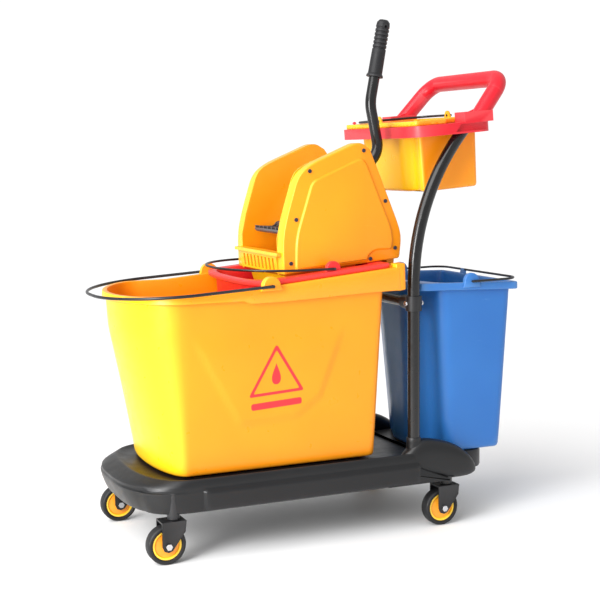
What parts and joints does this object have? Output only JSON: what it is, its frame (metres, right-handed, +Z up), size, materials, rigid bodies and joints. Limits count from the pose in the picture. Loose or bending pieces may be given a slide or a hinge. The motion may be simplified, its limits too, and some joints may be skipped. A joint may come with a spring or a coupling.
{
  "type": "mop wringer cart",
  "caption": "Wheeled mop cart with a yellow bucket, geared lever wringer, red inner bucket, blue rear bucket, and a red push handle carrying a caddy tray",
  "frame": {"origin": "On the floor below the middle of the overall box", "axes": "+X towards the push handle and the rear bucket, +Y towards the side away from the lever, +Z up"},
  "size_m": [0.892, 0.375, 1.0316],
  "materials": {
    "base_plastic": "charcoal moulded plastic with a fine grain",
    "black_steel": "black coated pressed steel",
    "pole_steel": "semi-gloss black powder coat",
    "black_plastic": "black moulded plastic",
    "wire": "black coated wire",
    "bolt_zinc": "bright zinc-plated steel",
    "wheel_hub": "orange-yellow moulded plastic",
    "tyre_rubber": "black rubber tread",
    "yellow_bucket": "satin yellow moulded plastic",
    "yellow_caddy": "satin yellow moulded plastic",
    "yellow_wringer": "satin yellow moulded plastic",
    "red_bucket": "satin red moulded plastic",
    "red_frame": "satin red moulded plastic",
    "blue_bucket": "satin blue moulded plastic",
    "dark_plastic": "dark grey glass-filled plastic",
    "screw_black": "black oxide screws",
    "gear_steel": "bright steel",
    "lever_steel": "semi-gloss black powder coat",
    "grip_rubber": "matt black rubber grip"
  },
  "bodies": {
    "frame": {"base_platform": "base_plastic", "caster_stems": "black_steel", "pole_near": "pole_steel", "pole_far": "pole_steel", "cross_tube": "pole_steel", "tee_collars": "black_plastic", "collar_bolts": "bolt_zinc", "tray_frame": "red_frame", "tray_peg": "red_frame"},
    "swivel_front_near": {"fork_front_near": "black_steel", "axle_front_near": "bolt_zinc"},
    "wheel_front_near": {"hub_front_near": "wheel_hub", "tyre_front_near": "tyre_rubber"},
    "swivel_front_far": {"fork_front_far": "black_steel", "axle_front_far": "bolt_zinc"},
    "wheel_front_far": {"hub_front_far": "wheel_hub", "tyre_front_far": "tyre_rubber"},
    "swivel_rear_near": {"fork_rear_near": "black_steel", "axle_rear_near": "bolt_zinc"},
    "wheel_rear_near": {"hub_rear_near": "wheel_hub", "tyre_rear_near": "tyre_rubber"},
    "swivel_rear_far": {"fork_rear_far": "black_steel", "axle_rear_far": "bolt_zinc"},
    "wheel_rear_far": {"hub_rear_far": "wheel_hub", "tyre_rear_far": "tyre_rubber"},
    "main_bucket": {"main_bucket": "yellow_bucket"},
    "main_bail": {"main_bail": "wire"},
    "dirty_bucket": {"dirty_bucket": "red_bucket"},
    "dirty_bail": {"dirty_bail": "wire"},
    "rear_bucket": {"rear_bucket": "blue_bucket"},
    "rear_bail": {"rear_bail": "wire"},
    "caddy": {"caddy": "yellow_caddy"},
    "caddy_bail": {"caddy_bail": "wire"},
    "wringer": {"wringer_body": "yellow_wringer", "wringer_cover_near": "yellow_wringer", "wringer_cover_far": "yellow_wringer", "cover_screws_near": "screw_black", "cover_screws_far": "screw_black", "shaft_bushes": "dark_plastic", "return_spring": "gear_steel"},
    "press_front": {"wing_front": "dark_plastic", "shaft_front": "gear_steel", "gear_front": "gear_steel"},
    "press_rear": {"wing_rear": "dark_plastic", "shaft_rear": "gear_steel", "gear_rear": "gear_steel"},
    "lever": {"lever_tube": "lever_steel", "lever_grip": "grip_rubber", "lever_shaft": "gear_steel", "gear_lever": "gear_steel"}
  },
  "joints": [
    {"name": "swivel_front_near", "type": "hinge", "parent": "frame", "child": "swivel_front_near", "pos_m": [-0.326, -0.16, 0.09], "axis": [0, 0, 1], "continuous": true},
    {"name": "spin_front_near", "type": "hinge", "parent": "swivel_front_near", "child": "wheel_front_near", "pos_m": [-0.342, -0.16, 0.0375], "axis": [0, 1, 0], "continuous": true},
    {"name": "swivel_front_far", "type": "hinge", "parent": "frame", "child": "swivel_front_far", "pos_m": [-0.326, 0.16, 0.09], "axis": [0, 0, 1], "continuous": true},
    {"name": "spin_front_far", "type": "hinge", "parent": "swivel_front_far", "child": "wheel_front_far", "pos_m": [-0.342, 0.16, 0.0375], "axis": [0, 1, 0], "continuous": true},
    {"name": "swivel_rear_near", "type": "hinge", "parent": "frame", "child": "swivel_rear_near", "pos_m": [0.267, -0.16, 0.09], "axis": [0, 0, 1], "continuous": true},
    {"name": "spin_rear_near", "type": "hinge", "parent": "swivel_rear_near", "child": "wheel_rear_near", "pos_m": [0.251, -0.16, 0.0375], "axis": [0, 1, 0], "continuous": true},
    {"name": "swivel_rear_far", "type": "hinge", "parent": "frame", "child": "swivel_rear_far", "pos_m": [0.267, 0.16, 0.09], "axis": [0, 0, 1], "continuous": true},
    {"name": "spin_rear_far", "type": "hinge", "parent": "swivel_rear_far", "child": "wheel_rear_far", "pos_m": [0.251, 0.16, 0.0375], "axis": [0, 1, 0], "continuous": true},
    {"name": "main_lift", "type": "slide", "parent": "frame", "child": "main_bucket", "axis": [0, 0, 1], "range_m": [0, 0.3]},
    {"name": "main_bail", "type": "hinge", "parent": "main_bucket", "child": "main_bail", "pos_m": [-0.126, 0, 0.516], "axis": [0, 1, 0], "range_deg": [0, 74]},
    {"name": "dirty_lift", "type": "slide", "parent": "main_bucket", "child": "dirty_bucket", "axis": [0, 0, 1], "range_m": [0, 0.25]},
    {"name": "dirty_bail", "type": "hinge", "parent": "dirty_bucket", "child": "dirty_bail", "pos_m": [0.015, 0, 0.541], "axis": [0, 1, 0], "range_deg": [0, 46]},
    {"name": "wringer_lift", "type": "slide", "parent": "dirty_bucket", "child": "wringer", "axis": [0, 0, 1], "range_m": [0, 0.25]},
    {"name": "lever_pull", "type": "hinge", "parent": "wringer", "child": "lever", "pos_m": [0.081, 0, 0.70794], "axis": [0, -1, 0], "range_deg": [0, 78], "stiffness_Nm_per_rad": 0.3},
    {"name": "press_front", "type": "hinge", "parent": "wringer", "child": "press_front", "pos_m": [0.005, 0, 0.612], "axis": [0, -1, 0], "range_deg": [0, 82]},
    {"name": "press_rear", "type": "hinge", "parent": "wringer", "child": "press_rear", "pos_m": [0.101, 0, 0.612], "axis": [0, -1, 0], "range_deg": [-82, 0]},
    {"name": "rear_lift", "type": "slide", "parent": "frame", "child": "rear_bucket", "axis": [0.902, 0, 0.4317], "range_m": [0, 0.4]},
    {"name": "rear_bail", "type": "hinge", "parent": "rear_bucket", "child": "rear_bail", "pos_m": [0.329, 0, 0.501], "axis": [0, -1, 0], "range_deg": [0, 95]},
    {"name": "caddy_lift", "type": "slide", "parent": "frame", "child": "caddy", "axis": [-0.0785, 0, 0.9969], "range_m": [0, 0.16]},
    {"name": "caddy_bail", "type": "hinge", "parent": "caddy", "child": "caddy_bail", "pos_m": [0.27741, 0, 0.83666], "axis": [0.9969, 0, 0.0785], "range_deg": [0, 90]}
  ],
  "couplings": [
    {"joint": "press_front", "follows": "lever_pull", "ratio": 1.0417},
    {"joint": "press_rear", "follows": "lever_pull", "ratio": -1.0417}
  ]
}
